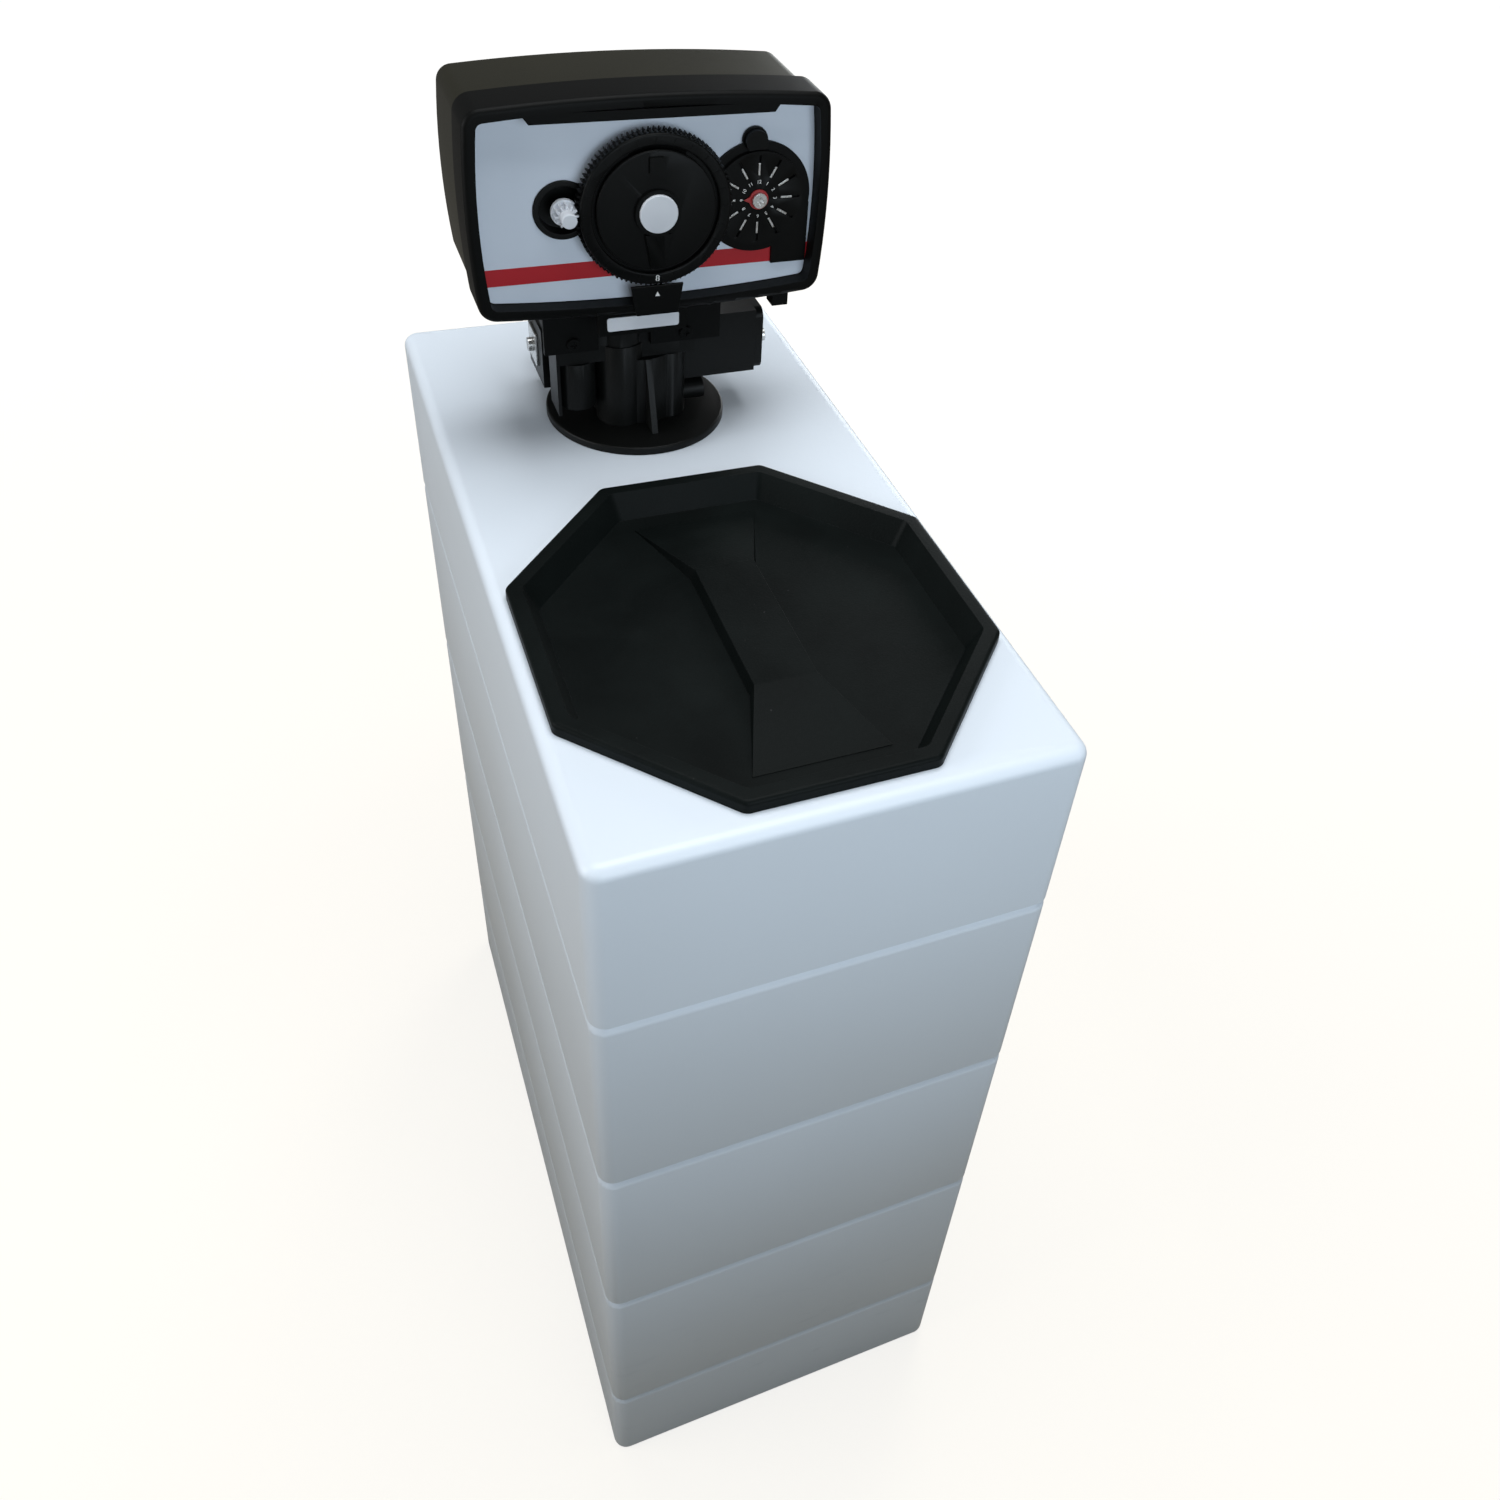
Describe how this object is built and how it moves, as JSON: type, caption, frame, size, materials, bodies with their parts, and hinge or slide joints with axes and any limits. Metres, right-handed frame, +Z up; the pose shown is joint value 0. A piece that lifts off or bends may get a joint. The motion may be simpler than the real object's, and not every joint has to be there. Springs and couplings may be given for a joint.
{
  "type": "water softener",
  "caption": "Compact cabinet water softener: ribbed white salt cabinet with a lift-off black lid and a black clock-driven control valve on top.",
  "frame": {"origin": "centre of the underside of the cabinet, on the floor", "axes": "+Z up, -Y is the front where the salt lid lies and the clock face looks, +X to the right as seen from the front"},
  "size_m": [0.21, 0.409, 0.7295],
  "materials": {
    "cabinet": "satin moulded plastic, bluish white",
    "lid": "fine-grained black moulded plastic",
    "head": "satin black moulded plastic",
    "valve": "black glass-filled plastic with a soft sheen",
    "gear": "smooth black acetal",
    "label": "smooth pale blue-grey printed face plate",
    "pale_knob": "smooth white acetal",
    "red": "smooth red plastic",
    "steel": "plain bright steel",
    "brass": "turned brass",
    "rubber": "black rubber",
    "tank": "filament wound blue-green pressure vessel",
    "tank_base": "black moulded foot",
    "resin": "bed of amber resin beads",
    "inner_plastic": "plain off-white moulded plastic"
  },
  "bodies": {
    "cabinet": {"cabinet_tub": "cabinet", "cabinet_top": "cabinet", "salt_grid": "inner_plastic", "brine_well": "inner_plastic", "brine_pickup": "inner_plastic", "mineral_tank": "tank", "tank_foot": "tank_base", "resin_bed": "resin", "riser_tube": "inner_plastic", "bottom_strainer": "inner_plastic", "valve_body": "valve", "piston_seals": "rubber", "seal_spacers": "inner_plastic", "end_plug": "valve", "plug_retainer": "steel", "injector_cap": "valve", "valve_screws": "steel", "drain_fitting": "valve", "inlet_coupling": "valve", "outlet_coupling": "valve", "port_clips": "steel", "front_frame": "head", "rear_cover": "head", "back_plate": "head", "label_plate": "label", "pinion_cup": "valve", "drive_motor": "steel", "skipper_base": "gear", "skipper_pointer": "red", "skipper_screw": "steel", "time_pointer": "gear", "blank_tag": "pale_knob", "cord_gland": "rubber", "head_screws": "head"},
    "lid": {"salt_lid": "lid"},
    "well_cap_body": {"well_cap": "inner_plastic"},
    "float": {"safety_float": "inner_plastic"},
    "piston_body": {"piston": "brass", "piston_rod": "steel"},
    "brine_stem_body": {"brine_stem": "steel"},
    "knob": {"program_knob": "gear", "main_gear": "pale_knob"},
    "button": {"center_button": "pale_knob"},
    "day_dial": {"day_gear": "gear"},
    "set_shaft_body": {"set_shaft": "steel"},
    "pinion": {"drive_pinion": "pale_knob"},
    "skipper": {"skipper_wheel": "gear"},
    "day_tab_1_body": {"day_tab_1": "steel"},
    "day_tab_2_body": {"day_tab_2": "steel"},
    "day_tab_3_body": {"day_tab_3": "steel"},
    "day_tab_4_body": {"day_tab_4": "steel"},
    "day_tab_5_body": {"day_tab_5": "steel"},
    "day_tab_6_body": {"day_tab_6": "steel"},
    "day_tab_7_body": {"day_tab_7": "steel"},
    "day_tab_8_body": {"day_tab_8": "steel"},
    "day_tab_9_body": {"day_tab_9": "steel"},
    "day_tab_10_body": {"day_tab_10": "steel"},
    "day_tab_11_body": {"day_tab_11": "steel"},
    "day_tab_12_body": {"day_tab_12": "steel"}
  },
  "joints": [
    {"name": "lid_lift", "type": "slide", "parent": "cabinet", "child": "lid", "axis": [0, 0, 1], "range_m": [0, 0.12]},
    {"name": "well_cap_lift", "type": "slide", "parent": "cabinet", "child": "well_cap_body", "axis": [0, 0, 1], "range_m": [0, 0.05]},
    {"name": "float_rise", "type": "slide", "parent": "cabinet", "child": "float", "axis": [0, 0, 1], "range_m": [0, 0.04]},
    {"name": "piston_stroke", "type": "slide", "parent": "cabinet", "child": "piston_body", "axis": [0, 0, 1], "range_m": [-0.01, 0.01]},
    {"name": "brine_stem_press", "type": "slide", "parent": "cabinet", "child": "brine_stem_body", "axis": [0, 0, -1], "range_m": [0, 0.004], "stiffness_N_per_m": 500},
    {"name": "knob_turn", "type": "hinge", "parent": "cabinet", "child": "knob", "pos_m": [-0.003, 0.05, 0.679], "axis": [0, -1, 0], "continuous": true},
    {"name": "button_press", "type": "slide", "parent": "knob", "child": "button", "axis": [0, 1, 0], "range_m": [0, 0.0028], "stiffness_N_per_m": 600},
    {"name": "day_dial_turn", "type": "hinge", "parent": "cabinet", "child": "day_dial", "pos_m": [-0.003, 0.05, 0.679], "axis": [0, -1, 0], "continuous": true},
    {"name": "pinion_push", "type": "slide", "parent": "cabinet", "child": "set_shaft_body", "axis": [0, 1, 0], "range_m": [0, 0.005], "stiffness_N_per_m": 400},
    {"name": "pinion_turn", "type": "hinge", "parent": "set_shaft_body", "child": "pinion", "pos_m": [-0.0429, 0.05, 0.679], "axis": [0, -1, 0], "continuous": true},
    {"name": "skipper_turn", "type": "hinge", "parent": "cabinet", "child": "skipper", "pos_m": [0.0465, 0.055, 0.6786], "axis": [0, -1, 0], "continuous": true},
    {"name": "day_tab_1_slide", "type": "slide", "parent": "skipper", "child": "day_tab_1_body", "axis": [1, 0, 0], "range_m": [0, 0.0035]},
    {"name": "day_tab_2_slide", "type": "slide", "parent": "skipper", "child": "day_tab_2_body", "axis": [0.866, 0, 0.5], "range_m": [0, 0.0035]},
    {"name": "day_tab_3_slide", "type": "slide", "parent": "skipper", "child": "day_tab_3_body", "axis": [0.5, 0, 0.866], "range_m": [0, 0.0035]},
    {"name": "day_tab_4_slide", "type": "slide", "parent": "skipper", "child": "day_tab_4_body", "axis": [0, 0, 1], "range_m": [0, 0.0035]},
    {"name": "day_tab_5_slide", "type": "slide", "parent": "skipper", "child": "day_tab_5_body", "axis": [-0.5, 0, 0.866], "range_m": [0, 0.0035]},
    {"name": "day_tab_6_slide", "type": "slide", "parent": "skipper", "child": "day_tab_6_body", "axis": [-0.866, 0, 0.5], "range_m": [0, 0.0035]},
    {"name": "day_tab_7_slide", "type": "slide", "parent": "skipper", "child": "day_tab_7_body", "axis": [-1, 0, 0], "range_m": [0, 0.0035]},
    {"name": "day_tab_8_slide", "type": "slide", "parent": "skipper", "child": "day_tab_8_body", "axis": [-0.866, 0, -0.5], "range_m": [0, 0.0035]},
    {"name": "day_tab_9_slide", "type": "slide", "parent": "skipper", "child": "day_tab_9_body", "axis": [-0.5, 0, -0.866], "range_m": [0, 0.0035]},
    {"name": "day_tab_10_slide", "type": "slide", "parent": "skipper", "child": "day_tab_10_body", "axis": [0, 0, -1], "range_m": [0, 0.0035]},
    {"name": "day_tab_11_slide", "type": "slide", "parent": "skipper", "child": "day_tab_11_body", "axis": [0.5, 0, -0.866], "range_m": [0, 0.0035]},
    {"name": "day_tab_12_slide", "type": "slide", "parent": "skipper", "child": "day_tab_12_body", "axis": [0.866, 0, -0.5], "range_m": [0, 0.0035]}
  ],
  "couplings": [
    {"joint": "pinion_turn", "follows": "day_dial_turn", "ratio": -7.8333}
  ]
}
